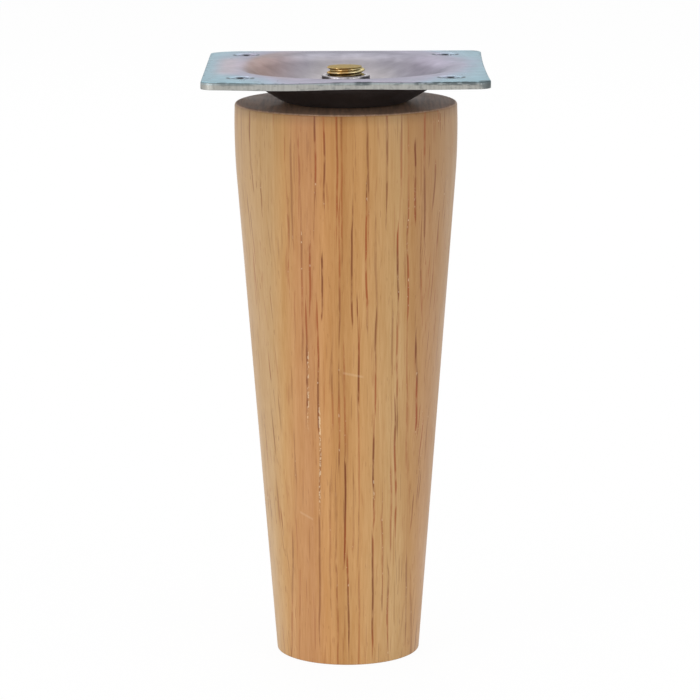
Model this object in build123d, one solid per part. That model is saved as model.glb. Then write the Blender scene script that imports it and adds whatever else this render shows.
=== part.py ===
# Straight wooden furniture leg, screwed home under a dished steel mounting plate.
# All sizes are millimetres. The origin is the centre of the foot, +Z points up
# to the plate, and X and Y run along the plate's edges.

import os
from math import acos, asin, atan2, cos, hypot, radians, sin, tan

from build123d import *

# Turned leg: a straight taper that runs into a gentle belly below the top
leg_height = 150.0
foot_diameter = 38.7
foot_edge = 0.3  # eased off the foot's rim
belly_diameter = 59.4
belly_below_top = 6.5
belly_arc_radius = 180.0
top_edge = 0.6  # eased off the top's rim

# Mounting plate: one square of sheet with its middle pressed down into a dish
plate_side = 74.4
plate_sheet = 2.0
plate_corner_radius = 3.6
dish_depth = 7.5
dish_floor_radius = 16.2  # where the underside of floor and wall would meet
dish_wall_angle = 31.0  # between the wall and the flat
dish_floor_bend = 6.0  # inside radius of the bend at the floor
dish_rim_bend = 10.0  # inside radius of the bend at the rim

# Screw holes in the plate, countersunk from below
screw_spacing = 54.4
screw_hole_diameter = 4.6
screw_sink_angle = 90.0
screw_land = 0.5  # straight wall left above the countersink

# Thread shared by the nut and the upper end of the hanger bolt
thread_diameter = 10.0
thread_clearance = 0.05

# Weld nut on the floor of the dish
nut_diameter = 12.8
nut_height = 5.2
nut_edge = 0.4  # taken off round its top
floor_hole_clearance = 0.5  # round the bolt, where it passes the dish floor

# Hanger bolt: a machine thread above, a plain neck, and a wood thread with a point
bolt_tip_drop = 0.1  # how far the tip stays below the plate's flat
bolt_tip_chamfer = 0.9
machine_thread_length = 20.0
neck_diameter = 8.6
neck_length = 4.0
wood_thread_diameter = 9.6
wood_thread_length = 26.0
point_length = 6.0
bore_clearance = 0.05  # between the bolt and the bore in the leg
bore_spare_depth = 2.0  # drilled past the bolt's point

# Levels and radii that follow from the sizes above
foot_radius = foot_diameter / 2
belly_radius = belly_diameter / 2
belly_level = leg_height - belly_below_top
belly_arc_axis = belly_radius - belly_arc_radius
dish_floor_top = leg_height + plate_sheet
plate_underside = leg_height + dish_depth
plate_top = plate_underside + plate_sheet
thread_radius = thread_diameter / 2
wood_thread_radius = wood_thread_diameter / 2
bolt_tip_level = plate_top - bolt_tip_drop
machine_thread_end = bolt_tip_level - machine_thread_length
neck_end = machine_thread_end - neck_length
wood_thread_end = neck_end - wood_thread_length
point_level = wood_thread_end - point_length


def revolved(outline):
    """A solid of revolution about Z, from a closed outline of radius and height."""
    return revolve(Plane.XZ * make_face(outline), axis=Axis.Z)


def belly_point(level):
    """The point of the belly's arc at a level, as radius and height."""
    rise = asin((level - belly_level) / belly_arc_radius)
    return (belly_arc_axis + belly_arc_radius * cos(rise), level)


def turned_leg():
    """The leg as it leaves the lathe, with its edges eased and its top bored."""
    foot_rim = (foot_radius, foot_edge)
    span = hypot(foot_radius - belly_arc_axis, belly_level - foot_edge)
    sight_line = atan2(foot_edge - belly_level, foot_radius - belly_arc_axis)
    tangent_angle = sight_line + acos(belly_arc_radius / span)
    taper_end = belly_point(belly_level + belly_arc_radius * sin(tangent_angle))

    top_rim = belly_point(leg_height - top_edge)
    top_radius = belly_point(leg_height)[0] - top_edge
    belly = ThreePointArc(taper_end, belly_point(belly_level), top_rim)
    straights = Polyline(
        top_rim,
        (top_radius, leg_height),
        (0, leg_height),
        (0, 0),
        (foot_radius - foot_edge, 0),
        foot_rim,
        taper_end,
    )
    return revolved([belly, straights]) - bolt_bore()


def mounting_plate():
    """The pressed plate: an even sheet turned into a dish, trimmed square and punched."""
    wall_angle = radians(dish_wall_angle)
    wall_run = dish_depth / tan(wall_angle)
    bend_shift = plate_sheet * tan(wall_angle / 2)
    floor_hole_radius = thread_radius + floor_hole_clearance
    disc_radius = plate_side  # reaches past the corners of the square

    lower_floor = (dish_floor_radius, leg_height)
    lower_rim = (dish_floor_radius + wall_run, plate_underside)
    upper_rim = (lower_rim[0] - bend_shift, plate_top)
    upper_floor = (lower_floor[0] - bend_shift, dish_floor_top)
    section = FilletPolyline(
        (floor_hole_radius, leg_height),
        lower_floor,
        lower_rim,
        (disc_radius, plate_underside),
        (disc_radius, plate_top),
        upper_rim,
        upper_floor,
        (floor_hole_radius, dish_floor_top),
        radius=[
            0,
            dish_floor_bend + plate_sheet,
            dish_rim_bend,
            0,
            0,
            dish_rim_bend + plate_sheet,
            dish_floor_bend,
            0,
        ],
        close=True,
    )
    dished_disc = revolved(section)

    square = RectangleRounded(plate_side, plate_side, plate_corner_radius)
    trim_height = dish_depth + 2 * plate_sheet
    trim = Pos(0, 0, plate_top - trim_height) * extrude(square, trim_height)
    return (dished_disc & trim) - screw_holes()


def screw_holes():
    """Four round holes through the flat, each with a countersink on the leg's side."""
    sink_depth = plate_sheet - screw_land
    hole_radius = screw_hole_diameter / 2
    sink_radius = hole_radius + sink_depth * tan(radians(screw_sink_angle / 2))
    hole = Pos(0, 0, plate_top - plate_sheet / 2) * Cylinder(hole_radius, 2 * plate_sheet)
    sink_middle = plate_underside + sink_depth / 2
    sink = Pos(0, 0, sink_middle) * Cone(sink_radius, hole_radius, sink_depth)
    corners = GridLocations(screw_spacing, screw_spacing, 2, 2)
    return [corner * (hole + sink) for corner in corners]


def weld_nut():
    """A round nut with a chamfered top, standing on the floor of the dish."""
    bore_radius = thread_radius + thread_clearance
    nut_radius = nut_diameter / 2
    nut_top = dish_floor_top + nut_height
    outline = Polyline(
        (bore_radius, dish_floor_top),
        (nut_radius, dish_floor_top),
        (nut_radius, nut_top - nut_edge),
        (nut_radius - nut_edge, nut_top),
        (bore_radius, nut_top),
        close=True,
    )
    return revolved(outline)


def hanger_bolt():
    """The double-ended bolt, each thread as its outer cylinder."""
    neck_radius = neck_diameter / 2
    outline = Polyline(
        (0, bolt_tip_level),
        (thread_radius - bolt_tip_chamfer, bolt_tip_level),
        (thread_radius, bolt_tip_level - bolt_tip_chamfer),
        (thread_radius, machine_thread_end),
        (neck_radius, machine_thread_end),
        (neck_radius, neck_end),
        (wood_thread_radius, neck_end),
        (wood_thread_radius, wood_thread_end),
        (0, point_level),
        close=True,
    )
    return revolved(outline)


def bolt_bore():
    """The stepped bore in the leg that the bolt is driven into, open at the leg's top."""
    wide_radius = thread_radius + bore_clearance
    narrow_radius = wood_thread_radius + bore_clearance
    step_level = machine_thread_end - bore_clearance
    bottom_level = point_level - bore_spare_depth
    outline = Polyline(
        (0, plate_top),
        (wide_radius, plate_top),
        (wide_radius, step_level),
        (narrow_radius, step_level),
        (narrow_radius, bottom_level),
        (0, bottom_level),
        close=True,
    )
    return revolved(outline)


sub_parts = {
    "turned_leg": turned_leg(),
    "mounting_plate": mounting_plate(),
    "weld_nut": weld_nut(),
    "hanger_bolt": hanger_bolt(),
}

os.makedirs("parts", exist_ok=True)
for node_name, shape in sub_parts.items():
    export_step(shape, f"parts/{node_name}.step")
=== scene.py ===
from functools import partial
from math import acos, asin, atan2, ceil, cos, degrees, hypot, pi, radians, sin, tan

import bmesh
import bpy
from mathutils import Matrix, Vector


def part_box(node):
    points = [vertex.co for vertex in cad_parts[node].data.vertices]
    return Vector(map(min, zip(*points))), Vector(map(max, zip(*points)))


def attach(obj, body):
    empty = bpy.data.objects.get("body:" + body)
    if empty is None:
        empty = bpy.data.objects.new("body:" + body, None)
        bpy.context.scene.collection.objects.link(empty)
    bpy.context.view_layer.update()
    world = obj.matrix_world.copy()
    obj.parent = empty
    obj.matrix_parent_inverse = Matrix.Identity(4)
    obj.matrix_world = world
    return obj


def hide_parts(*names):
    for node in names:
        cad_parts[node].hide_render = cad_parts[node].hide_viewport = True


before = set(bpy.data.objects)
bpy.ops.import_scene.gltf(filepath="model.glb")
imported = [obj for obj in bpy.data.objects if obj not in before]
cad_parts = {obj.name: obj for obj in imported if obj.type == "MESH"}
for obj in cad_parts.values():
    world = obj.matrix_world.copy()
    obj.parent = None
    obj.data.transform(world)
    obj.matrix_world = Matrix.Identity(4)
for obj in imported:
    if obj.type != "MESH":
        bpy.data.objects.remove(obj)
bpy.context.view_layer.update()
mm = 0.001
scene = bpy.context.scene
plainWhite = (1, 1, 1, 1)
print("frame loaded:", sorted(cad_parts))


def linearColour(code):
    channels = [int(code[i:i + 2], 16) / 255 for i in (1, 3, 5)]
    linear = [c / 12.92 if c <= 0.04045 else ((c + 0.055) / 1.055) ** 2.4 for c in channels]
    return (*linear, 1.0)


nodeKinds = {  # name here: Blender's node, its settings, the sockets that its values go to, and its output
    "plus": ("Math", {"operation": "ADD"}, (0, 1), 0),
    "minus": ("Math", {"operation": "SUBTRACT"}, (0, 1), 0),
    "times": ("Math", {"operation": "MULTIPLY"}, (0, 1), 0),
    "timesPlus": ("Math", {"operation": "MULTIPLY_ADD"}, (0, 1, 2), 0),
    "larger": ("Math", {"operation": "MAXIMUM"}, (0, 1), 0),
    "unsigned": ("Math", {"operation": "ABSOLUTE"}, (0,), 0),
    "root": ("Math", {"operation": "SQRT"}, (0,), 0),
    "scaled": ("VectorMath", {"operation": "SCALE"}, (0, 3), 0),
    "stretched": ("VectorMath", {"operation": "MULTIPLY_ADD"}, (0, 1, 2), 0),
    "away": ("VectorMath", {"operation": "DISTANCE"}, (0, 1), "Value"),
    "axes": ("SeparateXYZ", {}, (0,), None),
    "range": ("MapRange", {}, (0, 1, 2, 3, 4), 0),
    "softRange": ("MapRange", {"interpolation_type": "SMOOTHSTEP"}, (0, 1, 2, 3, 4), 0),
    "mixed": ("Mix", {"data_type": "RGBA"}, (0, 6, 7), 2),
    "multiplied": ("Mix", {"data_type": "RGBA", "blend_type": "MULTIPLY"}, (0, 6, 7), 2),
    "mixedValue": ("Mix", {"data_type": "FLOAT"}, (0, 2, 3), 0),
    "mixedShader": ("MixShader", {}, (0, 1, 2), 0),
    "ramp": ("ValToRGB", {}, (0,), 0),
    "noise": ("TexNoise", {}, ("Vector", "Scale", "Detail"), 0),
    "bump": ("Bump", {}, ("Strength", "Distance", "Height"), 0),
    "place": ("TexCoord", {}, (), "Object"),
    "direction": ("TexCoord", {}, (), "Generated"),
    "normal": ("NewGeometry", {}, (), "Normal"),
    "farSide": ("NewGeometry", {}, (), "Backfacing"),
    "ray": ("LightPath", {}, (), None),
    "principled": ("BsdfPrincipled", {}, (), 0),
    "diffuse": ("BsdfDiffuse", {}, ("Color",), 0),
    "glow": ("Emission", {}, ("Color", "Strength"), 0),
    "clear": ("BsdfTransparent", {}, ("Color",), 0),
    "background": ("Background", {}, ("Color", "Strength"), 0),
    "materialOutput": ("OutputMaterial", {}, ("Surface",), None),
    "worldOutput": ("OutputWorld", {}, ("Surface",), None),
}


def addNode(tree, kind, *values, inputs=None, stops=()):
    # adds one node: values, or outputs to link, in the order of its sockets or by name in inputs;
    # stops are the places and tones of a colour ramp
    name, settings, sockets, output = nodeKinds[kind]
    node = tree.nodes.new("ShaderNode" + name)
    for setting, choice in settings.items():
        setattr(node, setting, choice)
    for socket, value in [*zip(sockets, values), *(inputs or {}).items()]:
        if isinstance(value, bpy.types.NodeSocket):
            tree.links.new(value, node.inputs[socket])
        else:
            node.inputs[socket].default_value = value
    for count, (place, tone) in enumerate(sorted(stops, key=lambda stop: stop[0])):
        elements = node.color_ramp.elements
        element = elements[count] if count < 2 else elements.new(place)
        element.position = place
        element.color = linearColour(tone) if isinstance(tone, str) else (tone, tone, tone, 1)
    return node.outputs if output is None else node.outputs[output]


def newMaterial(name):
    # an empty material, and what adds nodes to it
    material = bpy.data.materials.new(name)
    material.use_nodes = True
    material.node_tree.nodes.clear()
    return material, partial(addNode, material.node_tree)


def millimetres(add):
    # object coordinates in millimetres: the whole vector, and x, y and z
    place = add("scaled", add("place"), 1 / mm)
    return place, *add("axes", place)


def patternMarks(add, place, patterns, name):
    # a pattern's noise, with the numbers that say how it is used
    size, detail, shift, *numbers = patterns[name]
    stretched = add("stretched", place, [1 / length for length in size], shift)
    return add("noise", stretched, 1.0, detail), *numbers


def waver(add, noise, reach):
    # a noise as a waver to both sides of zero
    return add("times", add("minus", noise, 0.5), reach)


# Meshes

def circleRing(radius, level, columns):
    angles = [2 * pi * column / columns for column in range(columns)]
    return [(radius * cos(angle), radius * sin(angle), level) for angle in angles]


def arcPoints(centre, radius, start, end, steps):
    # points of an arc in radius and height, its angles in degrees
    angles = [radians(start + (end - start) * step / steps) for step in range(steps + 1)]
    return [(centre[0] + radius * cos(angle), centre[1] + radius * sin(angle)) for angle in angles]


def skinMesh(name, rings, closed=False):
    # a skin through rings of equally many points, its ends closed by fans or joined to each other
    columns = len(rings[0])
    points = [point for ring in rings for point in ring]
    faces = []
    for row in range(len(rings) if closed else len(rings) - 1):
        here = row * columns
        above = (row + 1) % len(rings) * columns
        for column in range(columns):
            ahead = (column + 1) % columns
            faces.append((here + column, here + ahead, above + ahead, above + column))
    for first in [] if closed else (0, (len(rings) - 1) * columns):
        ring = points[first:first + columns]
        centre = [sum(point[axis] for point in ring) / columns for axis in range(3)]
        points.append(centre)
        last = len(points) - 1
        faces += [(first + column, first + (column + 1) % columns, last) for column in range(columns)]
    mesh = bpy.data.meshes.new(name)
    mesh.from_pydata([Vector(point) * mm for point in points], [], faces)
    work = bmesh.new()
    work.from_mesh(mesh)
    bmesh.ops.recalc_face_normals(work, faces=work.faces)
    work.to_mesh(mesh)
    work.free()
    piece = bpy.data.objects.new(name, mesh)
    scene.collection.objects.link(piece)
    return piece


def applyModifiers(piece):
    graph = bpy.context.evaluated_depsgraph_get()
    result = bpy.data.meshes.new_from_object(piece.evaluated_get(graph))
    piece.modifiers.clear()
    piece.data = result


def finishPiece(piece, material, node, sharpAngle=32):
    mesh = piece.data
    mesh.materials.clear()
    mesh.materials.append(material)
    mesh.shade_smooth()
    mesh.set_sharp_from_angle(angle=radians(sharpAngle))
    weighted = piece.modifiers.new("faceWeights", "WEIGHTED_NORMAL")
    weighted.keep_sharp = True
    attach(piece, "root")
    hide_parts(node)
    print(piece.name, "made,", len(mesh.polygons), "faces")


# Camera, fitted to the plate's edges, the leg's rims and its sides in the photograph

camera = {
    "place": (0.83, -908.3, 261.5),
    "pitchDown": 0.1945,
    "roll": -0.0039,
    "lensPixels": 3431.33,
    "framePixels": 700,
    "sensorWidth": 36,
    "clip": (0.01, 50),  # metres
}


def makeCamera():
    data = bpy.data.cameras.new("photoCamera")
    data.sensor_fit = "HORIZONTAL"
    data.sensor_width = camera["sensorWidth"]
    data.lens = camera["lensPixels"] / camera["framePixels"] * camera["sensorWidth"]
    data.clip_start, data.clip_end = camera["clip"]
    eye = bpy.data.objects.new("photoCamera", data)
    tilt = Matrix.Rotation(pi / 2 - camera["pitchDown"], 4, "X") @ Matrix.Rotation(camera["roll"], 4, "Z")
    eye.matrix_world = Matrix.Translation(Vector(camera["place"]) * mm) @ tilt
    scene.collection.objects.link(eye)
    scene.camera = eye
    scene.view_settings.view_transform = "Standard"


# Studio: a white floor that keeps a soft shadow, a dim white surround and large soft lamps

studio = {
    "floorHalf": 4500,
    "floorColour": "#f4f4f4",
    "floorWhiteShare": 0.95,  # the floor's own white, against the light that falls on it
    "backdropWhite": 0.88,  # what metal sees up to the backdrop's upper edge
    "backdropEdge": (0.30, 0.62),  # height of that soft edge, as the sine of its angle above the floor
    "overhead": 0.55,  # the dim room above it
    "softLight": (0.50, 0.95),  # even light on the wood from the horizon and from overhead
    "softLightRise": (0.1, 0.9),  # between these sines of the angle above the floor
    "lampTarget": (0, 0, 70),
    "lamps": [  # name, place, size, watts
        ("leftSoftbox", (-1000, -900, 420), 700, 6.4),
        ("rightSoftbox", (1050, -850, 380), 700, 5.1),
        ("backSoftbox", (0, 1000, 1000), 900, 4.0),
    ],
}


def seenDirectly(add):
    # 1 for the camera's own rays and for what metal and glass show
    ray = add("ray")
    seen = add("larger", ray["Is Camera Ray"], ray["Is Glossy Ray"])
    return add("larger", seen, ray["Is Transmission Ray"])


def whiteFloorPaper():
    # matt backdrop paper: it keeps the leg's soft shadow, and a white of its own hides where it ends
    material, add = newMaterial("whiteFloorPaper")
    share = add("times", seenDirectly(add), studio["floorWhiteShare"])
    paper = add("diffuse", linearColour(studio["floorColour"]))
    white = add("mixedShader", share, paper, add("glow", plainWhite, 1.0))
    shown = add("mixedShader", add("farSide"), white, add("clear", plainWhite))
    add("materialOutput", shown)
    return material


def makeStudio():
    half = studio["floorHalf"] * mm
    corners = [(-half, -half, 0), (half, -half, 0), (half, half, 0), (-half, half, 0)]
    mesh = bpy.data.meshes.new("studioFloor")
    mesh.from_pydata(corners, [], [(0, 1, 2, 3)])
    mesh.materials.append(whiteFloorPaper())
    floor = bpy.data.objects.new("studioFloor", mesh)
    scene.collection.objects.link(floor)

    scene.world = bpy.data.worlds.new("whiteSurround")
    scene.world.use_nodes = True
    scene.world.node_tree.nodes.clear()
    add = partial(addNode, scene.world.node_tree)
    rise = add("axes", add("direction"))[2]
    room = add("softRange", rise, *studio["backdropEdge"], studio["backdropWhite"], studio["overhead"])
    soft = add("softRange", rise, *studio["softLightRise"], *studio["softLight"])
    around = add("background", plainWhite, add("mixedValue", seenDirectly(add), soft, room))
    white = add("background", plainWhite, 1.0)
    add("worldOutput", add("mixedShader", add("ray")["Is Camera Ray"], around, white))

    target = Vector(studio["lampTarget"])
    for name, place, size, watts in studio["lamps"]:
        data = bpy.data.lights.new(name, "AREA")
        data.shape = "SQUARE"
        data.size = size * mm
        data.energy = watts
        lamp = bpy.data.objects.new(name, data)
        lamp.location = Vector(place) * mm
        lamp.rotation_euler = (target - Vector(place)).to_track_quat("-Z", "Y").to_euler()
        scene.collection.objects.link(lamp)
    print("camera, floor, surround and", len(studio["lamps"]), "lamps made")


# Turned leg

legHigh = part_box("turned_leg")[1]
leg = {
    "height": legHigh.z / mm,
    "bellyRadius": legHigh.x / mm,
    "footRadius": 19.35,
    "footEdge": 0.3,
    "bellyLevel": 143.5,
    "bellyArc": 180.0,
    "topEdge": 0.8,
    "boreEdge": 0.4,
    "bore": [(4.85, 101.4), (5.05, 139.35)],  # radius and level, from its bottom up
    "topRings": (8, 12, 16, 20, 24, 27),  # radii of the rings across the flat top and foot
    "footRings": (15, 11, 7, 3, 1),
    "columns": 256,
    "taperRows": 48,
    "bellyRows": 26,
    "edgeRows": 6,
}

wood = {  # rubberwood, its grain along the leg and its growth layers facing left and right
    "layerTones": [  # place across the leg, tone
        (-30, "#c09e74"), (-20, "#c09c6e"), (-16.5, "#c39761"), (-13, "#c08d5b"), (-9.5, "#ba8656"),
        (-6, "#c3905a"), (-1, "#b5854f"), (3, "#c1935e"), (8, "#bd9360"), (13, "#be9968"),
        (17, "#b48957"), (21, "#b0865b"), (30, "#aa8a64"),
    ],
    "layerReach": 30,
    "waveFront": 3.0,  # how far the layers waver in front, and how much further at the back
    "waveBehind": 9.0,
    "topShadeTint": "#e9e2d5",  # painted shade: a little deeper and warmer towards the top, under the plate
    "tintSpan": (0.83, 1.17),
    "fibreDark": (0.87, 0.80, 0.66, 1),  # what the darkest fibres leave of the red, green and blue
    "fibrePale": (1.125, 1.205, 1.36, 1),
    "rimShade": 0.74,  # painted shade: the upper rim is darker, where the plate's shadow falls on its rounding
    "rimReach": (3.6, 0.3),  # from and to, below the top
    "endTurn": (0.45, 0.75),  # how upright the surface faces where the sawn ends begin
    "flankTurn": (-4.0, 4.0),  # where front turns into flank, and flank into back
    "backTurn": (-3.0, 3.0),
    # main vessel lines of the front: the band's middle level, then place across the leg and depth of tone
    "bands": [
        (134.5, [(-14.2, 0.5), (-12.2, 0.55), (-8.1, 0.9), (-5.7, 0.9), (-2.4, 0.8), (-1.2, 0.6), (5.7, 0.7),
                 (10.6, 0.75), (14.3, 0.6), (16.1, 0.4), (17.9, 1.0), (20.5, 0.7)]),
        (108.0, [(-15.2, 0.6), (-11.6, 0.6), (-9.5, 0.8), (-6.4, 1.0), (-1.9, 0.7), (1.4, 0.9), (5.1, 0.9),
                 (7.7, 0.4), (13.5, 1.0), (16.1, 0.9), (19.6, 0.6)]),
        (77.0, [(-10.6, 0.8), (-7.6, 0.9), (-4.0, 0.5), (-2.3, 0.7), (-0.8, 0.6), (2.9, 1.0), (7.5, 0.8),
                (11.9, 0.5), (13.3, 0.7), (15.9, 0.5), (18.4, 1.0)]),
        (46.0, [(-13.8, 0.4), (-7.3, 0.6), (-4.6, 0.4), (-3.1, 0.4), (-0.7, 1.0), (1.5, 0.6), (3.0, 0.5),
                (7.0, 1.0), (9.2, 0.6), (11.6, 0.6), (12.8, 0.9), (16.2, 0.3)]),
        (15.0, [(-15.0, 0.5), (-12.9, 0.3), (-7.5, 0.6), (-2.9, 0.6), (0.0, 0.9), (3.0, 0.5), (6.5, 0.9),
                (10.8, 0.8), (15.8, 0.6), (17.1, 0.4)]),
    ],
    "bandReach": (13.0, 16.0),  # a band fades out between these distances from its middle
    "lineHalf": 0.33,
    "lineCore": 0.45,  # share of the half width that has the full depth
    "lineReach": (-17.0, 22.0),
    "linesPerRamp": 6,  # at four stops each, below a colour ramp's limit of 32
    "lineShiftBehind": 3.7,
    "vesselDark": "#682a02",
    "vesselRed": "#8a3a05",
    "vesselDepth": 0.92,
    "scatterDepth": 0.6,
    "poreDepth": 0.45,
    "scatterInFront": -0.5,  # fewer short vessels show between the drawn lines
    # pale tone of the painted highlights, and of the two real scratches
    "glintAndScratchPale": "#ead6b2",
    "glintVessels": (0.25, 0.6),  # depth of the vessels that hold lacquer
    "glintRows": [(-10.3, 64, 90), (-7.3, 41, 75)],  # place across, and the levels from and to
    "glintRowHalf": (0.1, 0.32),
    "glintRowFade": 6,
    "scratches": [((-1.3, 81.5), (4.6, 80.2)), ((-12.9, 42.4), (-9.0, 40.6))],  # ends, across and up
    "scratchHalf": (0.1, 0.5),
    "scratchDepth": 0.12,
    "scratchEnds": (0.4, 0.5),  # shares of its length, from its middle
    "endGrain": "#ab8c74",
    "endPoreDepth": 0.5,
    "fibreHeight": 0.3,
    "vesselHeight": 0.8,
    "bumpStrength": 0.25,
    "bumpDistance": 0.12,
    "specular": 0.32,  # thin satin lacquer, a little under its usual shine
    "patterns": {  # size of the marks across, to the back and up; detail; shift; numbers of their use
        "wave": ((22, 16, 60), 2.0, (0, 0, 0)),
        "streaks": ((1.5, 6, 45), 3.0, (0, 0, 0), 0.3, 0.7, 0.92, 1.07),
        "fibres": ((0.35, 0.5, 16), 2.0, (7, 3, 0), 0.3, 0.7, 0.93, 1.06),  # coarser than real ones, to show
        "sway": ((9, 9, 18), 1.0, (0, 5, 0), 1.3),
        "stagger": ((1.1, 14, 90), 1.0, (3, 0, 9), 75.0),
        "breaks": ((1.3, 10, 6), 3.0, (1, 8, 2), 0.36, 0.52, 0.4, 1.0),
        "frontVessels": ((0.55, 7, 17), 1.5, (11, 0, 4), 0.635, 0.70),
        "flankVessels": ((7, 0.55, 17), 1.5, (0, 21, 5), 0.62, 0.69),
        "pores": ((0.45, 0.45, 4.5), 1.0, (31, 2, 5), 0.66, 0.74),
        "redness": ((2.5, 6, 30), 0.0, (2, 2, 2), 0.4, 0.6),
        "glints": ((0.6, 3, 1.1), 1.0, (5, 0, 13), 0.63, 0.70),
        "glintPlaces": ((6, 12, 30), 0.0, (4, 1, 8), 0.5, 0.6, 0.0, 0.4),
        "beads": ((0.5, 3, 0.8), 1.0, (5, 7, 3), 0.48, 0.58, 0.0, 0.45),
        "endPores": ((0.5, 0.5, 40), 2.0, (0, 0, 50), 0.6, 0.7),
        "endRings": ((0.8, 16, 40), 3.0, (8, 0, 0), 0.35, 0.65, 0.78, 1.2),
        "gloss": ((6, 6, 20), 2.0, (0, 0, 0), 0.3, 0.7, 0.38, 0.48),
    },
}


def legProfile():
    # radius and height from the bottom of the bore, over the top and down to the foot
    top = leg["height"]
    foot = leg["footRadius"]
    footEdge = leg["footEdge"]
    edge = leg["topEdge"]
    arc = leg["bellyArc"]
    level = leg["bellyLevel"]
    axis = leg["bellyRadius"] - arc
    span = hypot(foot - axis, level - footEdge)
    tangent = atan2(footEdge - level, foot - axis) + acos(arc / span)  # where taper and belly meet
    taperEnd = (axis + arc * cos(tangent), level + arc * sin(tangent))
    topRise = asin((top - edge - level) / arc)
    rim = axis + arc * cos(topRise)

    profile = list(leg["bore"])
    mouth = profile[-1][0]
    profile += [(mouth, top - leg["boreEdge"]), (mouth + leg["boreEdge"], top)]
    profile += [(radius, top) for radius in leg["topRings"]]
    profile += arcPoints((rim - edge, top - edge), edge, 90, 0, leg["edgeRows"])
    profile += arcPoints((axis, level), arc, degrees(topRise), degrees(tangent), leg["bellyRows"])[1:]
    for row in range(1, leg["taperRows"]):
        share = row / leg["taperRows"]
        profile.append((taperEnd[0] + (foot - taperEnd[0]) * share,
                        taperEnd[1] + (footEdge - taperEnd[1]) * share))
    profile += arcPoints((foot - footEdge, footEdge), footEdge, 0, -90, leg["edgeRows"])
    profile += [(radius, 0) for radius in leg["footRings"]]
    return profile


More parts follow.
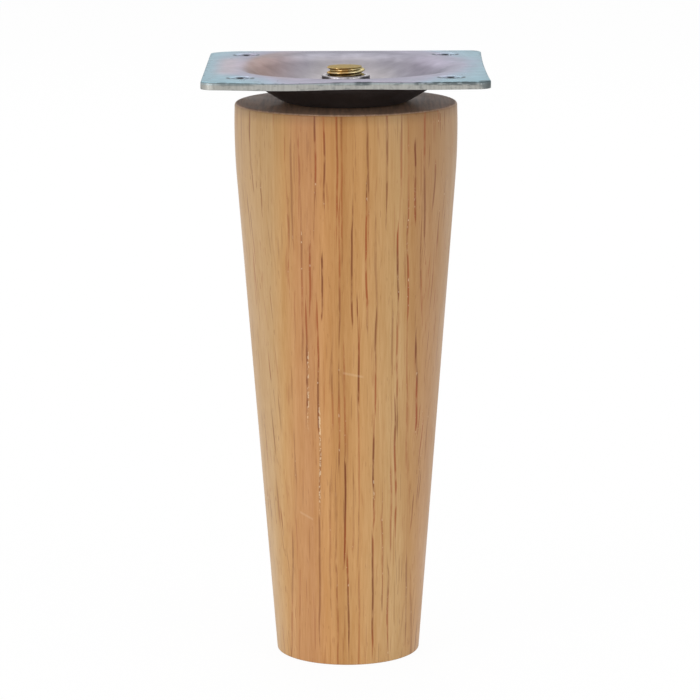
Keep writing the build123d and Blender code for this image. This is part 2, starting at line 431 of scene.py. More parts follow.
def turnedRubberwood():
    # turned, sanded and lacquered satin: long dark vessel lines in warm tan layers under a thin soft gloss
    material, add = newMaterial("turnedRubberwood")
    place, x, y, z = millimetres(add)
    pattern = partial(patternMarks, add, place, wood["patterns"])
    upward = add("axes", add("normal"))[2]
    endShare = add("softRange", add("unsigned", upward), *wood["endTurn"])
    sideShare = add("minus", 1.0, endShare)
    flankShare = add("softRange", add("minus", add("unsigned", x), add("unsigned", y)), *wood["flankTurn"])
    backShare = add("softRange", y, *wood["backTurn"])
    frontShare = add("minus", 1.0, backShare)

    # growth layers, wavier round the back
    wave = waver(add, *pattern("wave"), add("timesPlus", backShare, wood["waveBehind"], wood["waveFront"]))
    reach = wood["layerReach"]
    across = add("range", add("plus", x, wave), -reach, reach)
    tones = [((tonePlace + reach) / (2 * reach), tone) for tonePlace, tone in wood["layerTones"]]
    colour = add("ramp", across, stops=tones)
    fibres = add("range", *pattern("fibres"))
    tint = add("range", add("times", add("range", *pattern("streaks")), fibres), *wood["tintSpan"])
    colour = add("multiplied", 1.0, colour, add("mixed", tint, wood["fibreDark"], wood["fibrePale"]))
    # painted shade, deepening towards the top where the plate shades the leg
    shadedTowardsTop = add("multiplied", 1.0, colour, linearColour(wood["topShadeTint"]))
    colour = add("mixed", add("range", z, 0.0, leg["height"]), colour, shadedTowardsTop)
    # painted shade on the upper rim, in the plate's shadow
    rimFrom, rimTo = [leg["height"] - drop for drop in wood["rimReach"]]
    colour = add("scaled", colour, add("softRange", z, rimFrom, rimTo, 1.0, wood["rimShade"]))

    # main vessel lines, their ends staggered and their tone broken along their length
    swayed = add("plus", x, waver(add, *pattern("sway")))
    lineAcross = add("plus", swayed, add("times", backShare, wood["lineShiftBehind"]))
    lineLevel = add("plus", z, waver(add, *pattern("stagger")))
    first, last = wood["lineReach"]
    lineFactor = add("range", lineAcross, first, last)
    half = wood["lineHalf"] / (last - first)
    core = half * wood["lineCore"]
    perRamp = wood["linesPerRamp"]
    vessels = 0.0
    for level, lines in wood["bands"]:
        fromBand = add("unsigned", add("minus", lineLevel, level))
        inBand = add("softRange", fromBand, *wood["bandReach"], 1.0, 0.0)
        for start in range(0, len(lines), perRamp):
            stops = []
            for linePlace, depth in lines[start:start + perRamp]:
                middle = (linePlace - first) / (last - first)
                stops += [(middle - half, 0.0), (middle - core, depth)]
                stops += [(middle + core, depth), (middle + half, 0.0)]
            drawn = add("ramp", lineFactor, stops=stops)
            vessels = add("larger", vessels, add("times", drawn, inBand))
    vessels = add("times", vessels, add("softRange", *pattern("breaks")))

    # short scattered vessels on every side, and fine pores
    front = add("softRange", *pattern("frontVessels"))
    flank = add("softRange", *pattern("flankVessels"))
    scattered = add("times", add("mixedValue", flankShare, front, flank), wood["scatterDepth"])
    pores = add("times", add("softRange", *pattern("pores")), wood["poreDepth"])
    drawnShare = add("times", add("minus", 1.0, flankShare), frontShare)
    thinned = add("timesPlus", drawnShare, wood["scatterInFront"], 1.0)
    scattered = add("times", add("larger", scattered, pores), thinned)
    vessels = add("times", add("larger", vessels, scattered), sideShare)
    red = add("softRange", *pattern("redness"))
    vesselColour = add("mixed", red, linearColour(wood["vesselDark"]), linearColour(wood["vesselRed"]))
    colour = add("mixed", add("times", vessels, wood["vesselDepth"]), colour, vesselColour)

    # painted highlights: pale glints on lacquer that stands in a few vessels, and in rows beside two of them
    glints = add("softRange", *pattern("glints"))
    glints = add("times", glints, add("softRange", vessels, *wood["glintVessels"]))
    glints = add("times", glints, add("softRange", *pattern("glintPlaces")))
    beads = add("times", add("softRange", *pattern("beads")), frontShare)
    fade = wood["glintRowFade"]
    for rowPlace, rowLow, rowHigh in wood["glintRows"]:
        fromRow = add("unsigned", add("minus", lineAcross, rowPlace))
        near = add("softRange", fromRow, *wood["glintRowHalf"], 1.0, 0.0)
        near = add("times", near, add("softRange", z, rowLow, rowLow + fade))
        near = add("times", near, add("softRange", z, rowHigh - fade, rowHigh, 1.0, 0.0))
        glints = add("larger", glints, add("times", near, beads))
    colour = add("mixed", glints, colour, linearColour(wood["glintAndScratchPale"]))

    # two faint scratches on the front
    for (x0, z0), (x1, z1) in wood["scratches"]:
        slope = (z1 - z0) / (x1 - x0)
        line = add("minus", z, add("timesPlus", x, slope, z0 - slope * x0))
        thin = add("softRange", add("unsigned", line), *wood["scratchHalf"], wood["scratchDepth"], 0.0)
        endFrom, endTo = [(x1 - x0) * share for share in wood["scratchEnds"]]
        fromMiddle = add("unsigned", add("minus", x, (x0 + x1) / 2))
        ends = add("softRange", fromMiddle, endFrom, endTo, 1.0, 0.0)
        mark = add("times", add("times", thin, ends), frontShare)
        colour = add("mixed", mark, colour, linearColour(wood["glintAndScratchPale"]))

    # sawn ends: darker, with open pores as dots
    endColour = add("scaled", linearColour(wood["endGrain"])[:3], add("range", *pattern("endRings")))
    dots = add("times", add("softRange", *pattern("endPores")), wood["endPoreDepth"])
    endColour = add("mixed", dots, endColour, linearColour(wood["vesselDark"]))
    colour = add("mixed", endShare, colour, endColour)

    raised = add("times", fibres, wood["fibreHeight"])
    height = add("minus", raised, add("times", vessels, wood["vesselHeight"]))
    shader = add("principled", inputs={
        "Base Color": colour,
        "Roughness": add("range", *pattern("gloss")),
        "Normal": add("bump", wood["bumpStrength"], wood["bumpDistance"] * mm, height),
        "Specular IOR Level": wood["specular"],
    })
    add("materialOutput", shader)
    return material


def makeLeg():
    rings = [circleRing(radius, level, leg["columns"]) for radius, level in legProfile()]
    piece = skinMesh("turnedWoodenLeg", rings)
    finishPiece(piece, turnedRubberwood(), "turned_leg")


# Pressed mounting plate

plateLow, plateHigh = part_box("mounting_plate")
plate = {
    "half": plateHigh.x / mm,
    "top": plateHigh.z / mm,
    "floor": plateLow.z / mm,  # underside of the dish
    "sheet": 2.0,
    "cornerRadius": 3.6,
    "floorRadius": 16.2,
    "wallAngle": 31,
    "floorBend": 6,
    "rimBend": 10,
    "holeRadius": 5.5,  # of the hole under the nut, and how far its edge is eased
    "holeEdge": 0.2,
    "upperEdge": 0.45,  # rolled over by the blanking punch
    "lowerEdge": 0.12,
    "dips": [  # where the flat was bent down: place, depth and reach
        ((-16, -38), 0.34, 20),
        ((20, -38), 0.12, 16),
        ((-38, 38), 0.3, 9),
    ],
    "pullIn": (0.45, 0.2, 0.0, 0.2),  # drawn in from the middle of the right, back, left and front side
    "sideColumns": 32,
    "cornerColumns": 12,
    "floorRows": 4,
    "bendRows": 8,
    "flatRows": 8,
    "edgeRows": 5,
    "screwSpacing": 54.4,
    "screwRadius": 2.3,
    "sinkRadius": 3.8,
    "sinkDepth": 1.5,
    "ringRadius": 3.2,  # shallow ring that the countersinking punch leaves round each hole
    "ringDepth": 0.14,
    "ringWidth": 0.5,
    "ringShape": [(1.0, 0.0), (0.4, 0.8), (0.0, 1.0), (-0.6, 0.7)],  # shares of its width and depth
    "screwMouth": 0.35,  # radius that rounds the hole's mouth, and how far below the top it starts
    "screwMouthDrop": 0.06,
    "screwColumns": 48,
    "cutterExtra": (0.9, 0.6),  # how far the cutting shape goes on above and below the sheet
}


def plateOutline(inset):
    # rounded square, its sides drawn in a little, anticlockwise from the right side
    straight = plate["half"] - plate["cornerRadius"]
    outline = []
    for turn, pullIn in enumerate(plate["pullIn"]):
        quarter = []
        for column in range(plate["sideColumns"]):
            share = 2 * column / plate["sideColumns"] - 1
            quarter.append((plate["half"] - inset - pullIn * (1 - share * share), straight * share))
        for column in range(plate["cornerColumns"]):
            angle = pi / 2 * column / plate["cornerColumns"]
            radius = plate["cornerRadius"] - inset
            quarter.append((straight + radius * cos(angle), straight + radius * sin(angle)))
        for _ in range(turn):
            quarter = [(-y, x) for x, y in quarter]
        outline += quarter
    return outline


def plateSag(x, y):
    sag = 0.0
    for (dipX, dipY), depth, reach in plate["dips"]:
        near = max(0, 1 - hypot(x - dipX, y - dipY) / reach)
        sag += depth * near * near * (3 - 2 * near)
    return sag


def plateFace(offset):
    # rings of one face of the sheet from the middle hole to the rim, offset from the upper face
    wall = plate["wallAngle"]
    depth = plate["top"] - plate["sheet"] - plate["floor"]
    rise = tan(radians(wall / 2))
    bend = plate["floorBend"]
    floorBendRadius = plate["floorRadius"] - (bend + plate["sheet"]) * rise
    rimRadius = plate["floorRadius"] + depth / tan(radians(wall)) + plate["rimBend"] * rise
    floorLevel = plate["floor"] + plate["sheet"]
    flatLevel = floorLevel + depth
    inner = plate["holeRadius"] + plate["holeEdge"]
    step = (floorBendRadius - inner) / plate["floorRows"]
    rows = plate["bendRows"]
    rimMiddle = (rimRadius, flatLevel - plate["sheet"] - plate["rimBend"])
    profile = [(inner + step * count, floorLevel - offset) for count in range(plate["floorRows"])]
    profile += arcPoints((floorBendRadius, floorLevel + bend), bend + offset, -90, wall - 90, rows)
    profile += arcPoints(rimMiddle, plate["rimBend"] + plate["sheet"] - offset, 90 + wall, 90, rows)
    edge = plate["upperEdge"] if offset == 0 else plate["lowerEdge"]
    outline = plateOutline(edge)
    angles = [atan2(y, x) for x, y in outline]
    rings = []
    for radius, level in profile:
        rings.append([(radius * cos(angle), radius * sin(angle), level) for angle in angles])
    for row in range(1, plate["flatRows"] + 1):
        share = row / plate["flatRows"]
        ring = []
        for (x, y), angle in zip(outline, angles):
            across = rimRadius * cos(angle) * (1 - share) + x * share
            along = rimRadius * sin(angle) * (1 - share) + y * share
            ring.append((across, along, plate["top"] - offset - plateSag(across, along)))
        rings.append(ring)
    return rings


def plateEdge(radius, level, upper):
    # rings that round the sheet's edge over
    rings = []
    for step in range(1, plate["edgeRows"] + 1):
        angle = pi / 2 * step / plate["edgeRows"]
        drop = radius * (1 - cos(angle))
        ringLevel = level - (drop if upper else -drop)
        outline = plateOutline(radius * (1 - sin(angle)))
        rings.append([(x, y, ringLevel - plateSag(x, y)) for x, y in outline])
    return rings


def screwCutter(name, x, y):
    # what is taken out at one screw hole: coined ring, rounded mouth, hole and countersink from below
    top = plate["top"]
    under = top - plate["sheet"]
    hole = plate["screwRadius"]
    mouth = plate["screwMouth"]
    brink = top - plate["screwMouthDrop"]
    above, below = plate["cutterExtra"]
    profile = [(plate["ringRadius"] + plate["ringWidth"] + above, top + above)]
    for across, depth in plate["ringShape"]:
        profile.append((plate["ringRadius"] + plate["ringWidth"] * across, top - plate["ringDepth"] * depth))
    profile += arcPoints((hole + mouth, brink - mouth), mouth, 90, 180, 3)
    profile += [(hole, under + plate["sinkDepth"]), (plate["sinkRadius"], under)]
    profile.append((plate["sinkRadius"] + below, under - below))
    rings = []
    for radius, level in profile:
        ring = circleRing(radius, level, plate["screwColumns"])
        rings.append([(px + x, py + y, pz) for px, py, pz in ring])
    return skinMesh(name, rings)


def makePlate():
    upper = plateFace(0)
    lower = plateFace(plate["sheet"])
    upperEdge = plateEdge(plate["upperEdge"], plate["top"], True)
    lowerEdge = plateEdge(plate["lowerEdge"], plate["top"] - plate["sheet"], False)
    columns = [atan2(y, x) for x, y in plateOutline(0)]
    hole = plate["holeRadius"]
    levels = (plate["floor"] + plate["holeEdge"], plate["floor"] + plate["sheet"] - plate["holeEdge"])
    wall = [[(hole * cos(angle), hole * sin(angle), level) for angle in columns] for level in levels]
    rings = upper + upperEdge + lowerEdge[::-1] + lower[::-1] + wall
    piece = skinMesh("pressedMountingPlate", rings, closed=True)
    reach = plate["screwSpacing"] / 2
    cutters = [screwCutter("screwCutter", x, y) for x in (-reach, reach) for y in (-reach, reach)]
    for cutter in cutters:
        cut = piece.modifiers.new("screwHole", "BOOLEAN")
        cut.operation = "DIFFERENCE"
        cut.solver = "EXACT"
        cut.object = cutter
    applyModifiers(piece)
    for cutter in cutters:
        bpy.data.objects.remove(cutter)
    finishPiece(piece, pressedZincPlate(), "mounting_plate")


plating = {  # zinc with a thin blue film, its colour by distance from the dish's middle, partly painted shade on the dish's wall
    "filmReach": 46,
    "filmAndShadeTones": [  # distance in millimetres, counted short towards front and back, and tone
        (0, "#cdc7c7"), (12, "#c6c0c3"), (16.5, "#a7a2ab"), (22, "#958e99"), (27, "#aba1b0"),
        (30.5, "#b2acbd"), (33.5, "#a9b5c4"), (37, "#a3bbc6"), (41, "#9cb9c4"), (46, "#98b8c2"),
    ],
    "frontShare": 0.68,
    "filmBack": 4,  # the rings of colour lie this much towards the back
    "warmTone": "#9d8175",  # the dish's left wall
    "warmAcross": (-25, -9),
    "warmReach": (25.5, 29.5),
    "warmDepth": 0.85,
    "pinkTone": "#cfb8bc",  # the flat beside that wall
    "pinkStart": (-36, -31.5),
    "pinkEnd": (-31, -25.5),
    "pinkAlong": (12, 24),
    "pinkDepth": 0.7,
    "edgeGrey": "#a9a9a4",  # sheared edge, where the film is rubbed away
    "rolledTone": "#a1adb0",  # its upper part, rolled over and still plated
    "rolledDepth": 0.6,
    "edgeZone": (0.7, 1.1),  # distance from the plate's side, from and to
    "faceZone": (1.3, 1.7),
    "faceTurn": (0.25, 0.55),  # how upright the surface faces, as the next three pairs too
    "rolledTurn": (0.5, 0.95),
    "shadedUnderTurn": (-0.5, -0.15),
    "upperTurn": (-0.1, 0.1),
    "bandDrop": (0.75, 0.4),  # below the top
    "bandDepth": 0.8,
    # painted shade inside the screw holes, and painted shadow of their rings' grooves
    "holeShadeTone": "#474b50",
    "holeFade": (0.1, 0.35),  # outside the hole's wall
    "holeShadeDepth": 0.85,
    "holeShine": (0.6, 1.6),
    "holeShineLeft": 0.1,
    "ringFade": (0.25, 0.75),
    "ringShadowDepth": 0.9,
    "ringEnds": (1.0, 2.2),
    "wornDark": "#4b5457",
    "frontMarks": [  # from, to, depth
        (-33, -22, 0.45), (-4, 0, 0.45), (1.6, 7, 0.8), (10.5, 14.5, 0.45), (17, 34, 0.75),
    ],
    "markFade": 1.2,
    "markAlong": (0.5, 1.0),
    "markDrop": (1.2, 0.7),
    "cornerMarks": [((36.4, -36.6), 3.4), ((36.9, 36.3), 3.0)],  # rubbed corners: place and reach
    "cornerDepth": 0.8,
    "rubDepth": 0.35,
    # painted shade: the grey that darkens the underside
    "underShadeTone": "#6d6a69",
    "underShadeDepth": 0.75,
    "dullerBy": 0.18,  # added roughness where the film is gone
    "pressedBy": 0.16,  # and where the press has stretched the sheet, fading out over this reach
    "pressedReach": (20, 31),
    "lineHeight": 0.6,
    "markHeight": 0.5,
    "bumpStrength": 0.12,
    "bumpDistance": 0.1,
    "grazingTint": "#c9d0d4",
    "patterns": {  # size of the marks across, to the back and up; detail; shift; numbers of their use
        "filmWave": ((14, 14, 14), 2.0, (3, 1, 0), 9.0),
        "clouds": ((5, 3.5, 5), 3.0, (0, 0, 0), 0.3, 0.7, 0.9, 1.08),
        "rollingLines": ((14, 0.35, 4), 2.0, (0, 7, 0), 0.3, 0.7, 0.955, 1.03),  # coarser than real, to show
        "edgeGrain": ((0.5, 0.5, 3), 2.0, (0, 0, 6), 0.3, 0.7, 0.86, 1.1),
        "bandWave": ((3, 3, 0.8), 2.0, (5, 0, 5), 0.3),
        "markBreaks": ((2.2, 0.8, 0.6), 2.0, (4, 4, 4), 0.33, 0.55),
        "cornerBreaks": ((0.9, 0.9, 0.9), 2.0, (9, 2, 4), 0.2, 0.4),
        "rubs": ((2.2, 2.2, 1.0), 3.0, (6, 1, 2), 0.55, 0.65),
        "gloss": ((3, 3, 3), 3.0, (1, 1, 9), 0.3, 0.7, 0.27, 0.37),
        "peel": ((1.1, 1.1, 1.1), 2.0, (2, 8, 1), 0.5),
    },
}


def pressedZincPlate():
    # cold-pressed sheet, zinc plated and blue passivated: a soft metal sheen with rings of faint colour
    material, add = newMaterial("pressedZincPlatedSteel")
    place, x, y, z = millimetres(add)
    pattern = partial(patternMarks, add, place, plating["patterns"])
    upward = add("axes", add("normal"))[2]
    half = plate["half"]
    top = plate["top"]

    # film colours, wavering round the dish; their darker tones on its wall are partly painted shade
    shortY = add("times", add("minus", y, plating["filmBack"]), plating["frontShare"])
    distance = add("root", add("plus", add("times", x, x), add("times", shortY, shortY)))
    reach = plating["filmReach"]
    filmPlace = add("range", add("plus", distance, waver(add, *pattern("filmWave"))), 0, reach)
    colour = add("ramp", filmPlace, stops=[(far / reach, tone) for far, tone in plating["filmAndShadeTones"]])
    warm = add("softRange", distance, *plating["warmReach"], 1.0, 0.0)
    warm = add("times", add("softRange", x, *plating["warmAcross"], 1.0, 0.0), warm)
    colour = add("mixed", add("times", warm, plating["warmDepth"]), colour, linearColour(plating["warmTone"]))
    pink = add("softRange", x, *plating["pinkEnd"], 1.0, 0.0)
    pink = add("times", add("softRange", x, *plating["pinkStart"]), pink)
    along = add("softRange", add("unsigned", y), *plating["pinkAlong"], plating["pinkDepth"], 0.0)
    colour = add("mixed", add("times", pink, along), colour, linearColour(plating["pinkTone"]))

    # cloudy plating and faint rolling lines along the sheet
    lines = add("range", *pattern("rollingLines"))
    colour = add("scaled", colour, add("times", add("range", *pattern("clouds")), lines))

    # the edge: a sheared face rubbed grey under a rolled-over upper rim
    fromEdge = add("minus", half, add("larger", add("unsigned", x), add("unsigned", y)))
    edgeZone = add("softRange", fromEdge, *plating["edgeZone"], 1.0, 0.0)
    sideways = add("softRange", add("unsigned", upward), *plating["faceTurn"], 1.0, 0.0)
    faceShare = add("times", sideways, add("softRange", fromEdge, *plating["faceZone"], 1.0, 0.0))
    rolledTone = linearColour(plating["rolledTone"])
    rolled = add("times", add("softRange", upward, *plating["rolledTurn"], 1.0, 0.0), edgeZone)
    colour = add("mixed", add("times", rolled, plating["rolledDepth"]), colour, rolledTone)
    bandFrom, bandTo = [top - drop for drop in plating["bandDrop"]]
    band = add("softRange", add("plus", z, add("times", *pattern("bandWave"))), bandFrom, bandTo)
    band = add("times", band, plating["bandDepth"])
    edgeColour = add("mixed", band, linearColour(plating["edgeGrey"]), rolledTone)
    edgeColour = add("scaled", edgeColour, add("range", *pattern("edgeGrain")))
    colour = add("mixed", faceShare, colour, edgeColour)

    # the screw holes: painted shade inside them, and painted shadow of the ring that the countersinking left
    # beside them
    holeX, holeY = [add("minus", add("unsigned", axis), plate["screwSpacing"] / 2) for axis in (x, y)]
    fromHole = add("root", add("plus", add("times", holeX, holeX), add("times", holeY, holeY)))
    fadeFrom, fadeTo = [plate["screwRadius"] + fade for fade in plating["holeFade"]]
    shadeInHole = add("softRange", fromHole, fadeFrom, fadeTo, plating["holeShadeDepth"], 0.0)
    shine = add("softRange", add("unsigned", holeX), *plating["holeShine"], 1.0, plating["holeShineLeft"])
    shadeInHole = add("times", shadeInHole, shine)
    fromRing = add("unsigned", add("minus", fromHole, plate["ringRadius"]))
    ring = add("softRange", fromRing, *plating["ringFade"], plating["ringShadowDepth"], 0.0)
    ring = add("times", ring, add("softRange", add("unsigned", holeY), *plating["ringEnds"], 1.0, 0.0))
    colour = add("mixed", add("larger", shadeInHole, ring), colour, linearColour(plating["holeShadeTone"]))

    # where handling has rubbed the front's upper edge and two corners dark
    stops = []
    fade = plating["markFade"]
    for start, end, depth in plating["frontMarks"]:
        for stopPlace, tone in ((start, 0.0), (start + fade, depth), (end - fade, depth), (end, 0.0)):
            stops.append(((stopPlace + half) / (2 * half), tone))
    marks = add("ramp", add("range", x, -half, half), stops=stops)
    marks = add("times", marks, add("softRange", add("plus", y, half), *plating["markAlong"], 1.0, 0.0))
    markFrom, markTo = [top - drop for drop in plating["markDrop"]]
    marks = add("times", marks, add("softRange", z, markFrom, markTo))
    marks = add("times", marks, add("softRange", *pattern("markBreaks")))
    for (markX, markY), markReach in plating["cornerMarks"]:
        away = add("away", place, (markX, markY, top))
        spot = add("softRange", away, markReach / 2, markReach, plating["cornerDepth"], 0.0)
        marks = add("larger", marks, add("times", spot, add("softRange", *pattern("cornerBreaks"))))
    rubbed = add("times", add("softRange", *pattern("rubs")), add("times", edgeZone, plating["rubDepth"]))
    marks = add("larger", marks, rubbed)
    colour = add("mixed", marks, colour, linearColour(plating["wornDark"]))

    # painted shade: underneath, the sheet is greyed dark for the shade under the plate, and it is dull
    below = add("softRange", upward, *plating["shadedUnderTurn"], 1.0, 0.0)
    grey = add("times", below, plating["underShadeDepth"])
    colour = add("mixed", grey, colour, linearColour(plating["underShadeTone"]))

    dull = add("times", add("larger", faceShare, below), plating["dullerBy"])
    pressed = add("softRange", distance, *plating["pressedReach"], plating["pressedBy"], 0.0)
    pressed = add("times", pressed, add("softRange", upward, *plating["upperTurn"]))
    rough = add("plus", add("plus", add("range", *pattern("gloss")), dull), pressed)
    height = add("plus", add("times", lines, plating["lineHeight"]), add("times", *pattern("peel")))
    height = add("minus", height, add("times", marks, plating["markHeight"]))
    shader = add("principled", inputs={
        "Base Color": colour,
        "Metallic": 1.0,
        "Roughness": rough,
        "Specular Tint": linearColour(plating["grazingTint"]),
        "Normal": add("bump", plating["bumpStrength"], plating["bumpDistance"] * mm, height),
    })
    add("materialOutput", shader)
    return material


# Weld nut on the floor of the dish

nutLow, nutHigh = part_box("weld_nut")
nut = {
    "low": nutLow.z / mm,
    "top": nutHigh.z / mm,
    "radius": nutHigh.x / mm,
    "boreRadius": 5.05,
    "mouth": 0.3,
    "edge": 0.4,
    "edgeRows": 6,
    "footEdge": 0.1,
    "sideRows": (0.3, 0.6, 0.85),  # shares of its height
    "boreEnd": 1,  # the bore's last ring lies this much above the foot
    "columns": 120,
    "pale": "#ece6ea",
    "dull": "#c9c6c7",
    "topGrey": "#aea9ae",
    "sideShadeDark": "#4a484c",
    "sideShadeReach": (3.6, 5.0),  # from the middle, where painted shade darkens the sides that turn away
    "sideShadeDrop": (0.3, 0.05),  # below its top, between which the darkening ends
    "sideShadeOnTop": 0.25,
    "sideShadeDepth": 0.9,
    "dullAcross": (-0.5, 4.0),
    "topDrop": (0.2, 0.05),
    "bumpStrength": 0.3,
    "bumpDistance": 0.1,
    "patterns": {  # size of the marks across, to the back and up; detail; shift; numbers of their use
        "dullWave": ((2, 2, 2), 2.0, (0, 0, 0), 3.0),
        "streaks": ((0.8, 0.8, 6), 2.0, (4, 0, 2), 0.35, 0.65, 0.5, 1.1),
        "weldWave": ((1.5, 1.5, 1.5), 2.0, (1, 6, 2), 2.5),
        "gloss": ((1.2, 1.2, 1.2), 2.0, (0, 0, 0), 0.3, 0.7, 0.3, 0.46),
        "peel": ((0.8, 0.8, 1.2), 3.0, (1, 4, 4)),
    },
}


def makeNut():
    low = nut["low"]
    top = nut["top"]
    radius = nut["radius"]
    bore = nut["boreRadius"]
    edge = nut["edge"]
    profile = [(bore, low), (radius - nut["footEdge"], low), (radius, low + nut["footEdge"])]
    profile += [(radius, low + (top - low) * share) for share in nut["sideRows"]]
    profile += arcPoints((radius - edge, top - edge), edge, 0, 90, nut["edgeRows"])
    profile += [(bore + nut["mouth"], top), (bore, top - nut["mouth"]), (bore, low + nut["boreEnd"])]
    rings = [circleRing(ringRadius, level, nut["columns"]) for ringRadius, level in profile]
    piece = skinMesh("weldNut", rings, closed=True)
    finishPiece(piece, weldedZincNut(), "weld_nut")


def weldedZincNut():
    # turned steel nut, welded in and zinc plated: pale lavender, streaked upright, with painted shade on both
    # sides
    material, add = newMaterial("weldedZincPlatedNut")
    place, x, _, z = millimetres(add)
    pattern = partial(patternMarks, add, place, nut["patterns"])
    tone = add("softRange", add("plus", x, add("times", *pattern("dullWave"))), *nut["dullAcross"])
    colour = add("mixed", tone, linearColour(nut["pale"]), linearColour(nut["dull"]))
    colour = add("scaled", colour, add("range", *pattern("streaks")))
    topFrom, topTo = [nut["top"] - drop for drop in nut["topDrop"]]
    colour = add("mixed", add("softRange", z, topFrom, topTo), colour, linearColour(nut["topGrey"]))
    # painted shade on the left and right sides, where the round nut turns away
    fromMiddle = add("plus", add("unsigned", x), waver(add, *pattern("weldWave")))
    sideShade = add("softRange", fromMiddle, *nut["sideShadeReach"])
    sideShadeFrom, sideShadeTo = [nut["top"] - drop for drop in nut["sideShadeDrop"]]
    sideShade = add("times", sideShade, add("softRange", z, sideShadeFrom, sideShadeTo, 1.0, nut["sideShadeOnTop"]))
    colour = add("mixed", add("times", sideShade, nut["sideShadeDepth"]), colour, linearColour(nut["sideShadeDark"]))
    shader = add("principled", inputs={
        "Base Color": colour,
        "Metallic": 1.0,
        "Roughness": add("range", *pattern("gloss")),
        "Normal": add("bump", nut["bumpStrength"], nut["bumpDistance"] * mm, *pattern("peel")),
    })
    add("materialOutput", shader)
    return material


# Hanger bolt

boltLow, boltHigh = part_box("hanger_bolt")
bolt = {
    "tip": boltHigh.z / mm,
    "point": boltLow.z / mm,
    "threadRadius": boltHigh.x / mm,
    "threadDepth": 0.8,
    "pitch": 1.5,
    "turnedBy": 0.367,  # where the thread starts, in turns
    "threadFlats": (0.14, 0.14),  # shares of the pitch that its crest and root take up
    "tipChamfer": 0.3,
    "threadEnd": 139.4,
    "neckRadius": 4.3,
    "neckEnd": 135.4,
    "woodRadius": 4.8,
    "woodDepth": 1.3,
    "woodPitch": 3.6,
    "woodEnd": 109.4,
    "woodFlats": (0.06, 0.5),
    "pointRadius": 0.15,
    "columns": 72,
    "rowStep": 0.11,
    "gold": "#eed6a2",
    "orange": "#e8ba70",
    "olive": "#ded6ac",
    "tipOlive": "#94815a",
    "grazingTint": "#cfc4a6",
    "brown": "#7a5522",
    # painted shade: dark in the thread's roots, under its crests and at the nut's mouth
    "threadShadeDark": "#3c2b12",
    "oliveAcross": (-0.6, 2.4),
    "oliveDepth": 0.8,
    "brownDepth": 0.2,
    "tipDrop": (0.12, 0.04),  # below the tip, where its flat end begins
    "tipDepth": 0.9,
    "rootShadeReach": (0.1, 0.6),  # outside the root's radius
    "rootShadeDepth": 0.25,
    "shadedUnderTurn": (-0.75, -0.35),
    "underShadeDepth": 0.75,
    "seatShadeReach": (0.15, 0.5),  # above the nut
    "seatShadeDepth": 0.75,
    "bumpStrength": 0.2,
    "bumpDistance": 0.08,
    "patterns": {  # size of the marks across, to the back and up; detail; shift; numbers of their use
        "golden": ((2.5, 2.5, 1.2), 2.0, (0, 0, 0), 0.35, 0.65),
        "sideWave": ((3, 3, 2), 1.0, (2, 0, 0), 3.0),
        "brown": ((1.6, 1.6, 0.9), 2.0, (7, 7, 0), 0.56, 0.66),
        "gloss": ((1, 1, 1), 2.0, (0, 9, 0), 0.3, 0.7, 0.26, 0.42),
        "peel": ((0.7, 0.7, 0.4), 2.0, (3, 1, 5)),
    },
}


def threadHeight(turns, crest, root):
    # 1 on the crest and 0 in the root of a thread, at a number of turns along it
    share = abs(turns % 1 * 2 - 1)
    slope = min(1, max(0, (share - root) / (1 - crest - root)))
    return slope * slope * (3 - 2 * slope)


def boltRadius(angle, level):
    turn = angle / (2 * pi)
    if level >= bolt["threadEnd"]:
        height = threadHeight(level / bolt["pitch"] - turn + bolt["turnedBy"], *bolt["threadFlats"])
        radius = bolt["threadRadius"] - bolt["threadDepth"] * (1 - height)
        return min(radius, bolt["threadRadius"] - bolt["tipChamfer"] + bolt["tip"] - level)
    if level >= bolt["neckEnd"]:
        return bolt["neckRadius"]
    taper = min(1, (level - bolt["point"]) / (bolt["woodEnd"] - bolt["point"]))
    height = threadHeight(level / bolt["woodPitch"] - turn, *bolt["woodFlats"])
    return max(bolt["pointRadius"], (bolt["woodRadius"] - bolt["woodDepth"] * (1 - height)) * taper)


def makeBolt():
    rows = ceil((bolt["tip"] - bolt["point"]) / bolt["rowStep"])
    rings = []
    for row in range(rows + 1):
        level = bolt["tip"] + (bolt["point"] - bolt["tip"]) * row / rows
        ring = []
        for column in range(bolt["columns"]):
            angle = 2 * pi * column / bolt["columns"]
            radius = boltRadius(angle, level)
            ring.append((radius * cos(angle), radius * sin(angle), level))
        rings.append(ring)
    piece = skinMesh("hangerBolt", rings)
    finishPiece(piece, yellowZincBolt(), "hanger_bolt", sharpAngle=50)


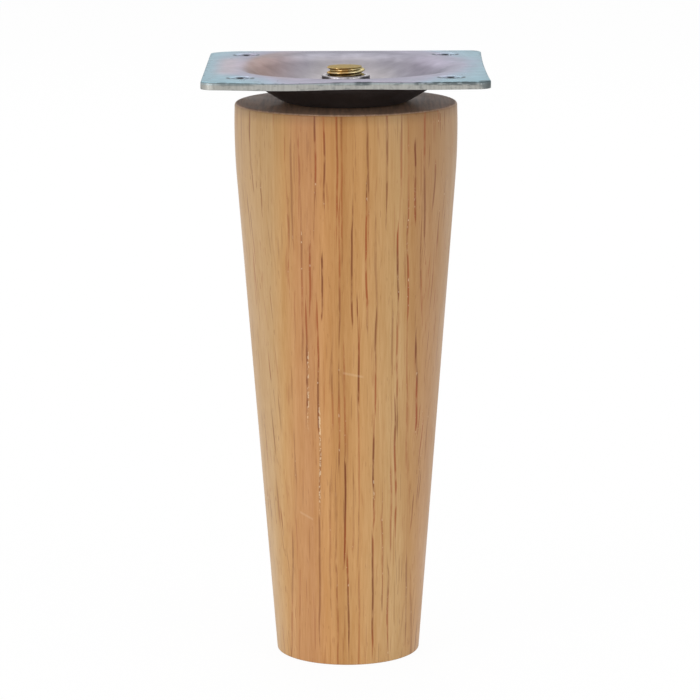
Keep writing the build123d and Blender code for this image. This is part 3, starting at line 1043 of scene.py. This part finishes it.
def yellowZincBolt():
    # rolled thread, zinc plated and yellow passivated: golden, olive on one side, brown in patches, painted
    # shade in the roots
    material, add = newMaterial("yellowZincPlatedBolt")
    place, x, y, z = millimetres(add)
    pattern = partial(patternMarks, add, place, bolt["patterns"])
    golden = add("softRange", *pattern("golden"))
    colour = add("mixed", golden, linearColour(bolt["orange"]), linearColour(bolt["gold"]))
    side = add("softRange", add("plus", x, waver(add, *pattern("sideWave"))), *bolt["oliveAcross"])
    colour = add("mixed", add("times", side, bolt["oliveDepth"]), colour, linearColour(bolt["olive"]))
    brown = add("times", add("softRange", *pattern("brown")), bolt["brownDepth"])
    colour = add("mixed", brown, colour, linearColour(bolt["brown"]))
    tipFrom, tipTo = [bolt["tip"] - drop for drop in bolt["tipDrop"]]
    tipShare = add("softRange", z, tipFrom, tipTo)
    colour = add("mixed", add("times", tipShare, bolt["tipDepth"]), colour, linearColour(bolt["tipOlive"]))

    # painted shade: dark in the roots, under the crests and where the bolt enters the nut
    out = add("root", add("plus", add("times", x, x), add("times", y, y)))
    rootFrom, rootTo = [bolt["threadRadius"] - bolt["threadDepth"] + reach for reach in bolt["rootShadeReach"]]
    dark = add("times", add("softRange", out, rootFrom, rootTo, 1.0, 0.0), bolt["rootShadeDepth"])
    upward = add("axes", add("normal"))[2]
    dark = add("larger", dark, add("softRange", upward, *bolt["shadedUnderTurn"], bolt["underShadeDepth"], 0.0))
    seatFrom, seatTo = [nut["top"] + reach for reach in bolt["seatShadeReach"]]
    dark = add("larger", dark, add("softRange", z, seatFrom, seatTo, bolt["seatShadeDepth"], 0.0))
    dark = add("times", dark, add("minus", 1.0, tipShare))
    colour = add("mixed", dark, colour, linearColour(bolt["threadShadeDark"]))
    shader = add("principled", inputs={
        "Base Color": colour,
        "Metallic": 1.0,
        "Roughness": add("range", *pattern("gloss")),
        "Specular Tint": linearColour(bolt["grazingTint"]),
        "Normal": add("bump", bolt["bumpStrength"], bolt["bumpDistance"] * mm, *pattern("peel")),
    })
    add("materialOutput", shader)
    return material


makeCamera()
makeStudio()
makeLeg()
makePlate()
makeNut()
makeBolt()
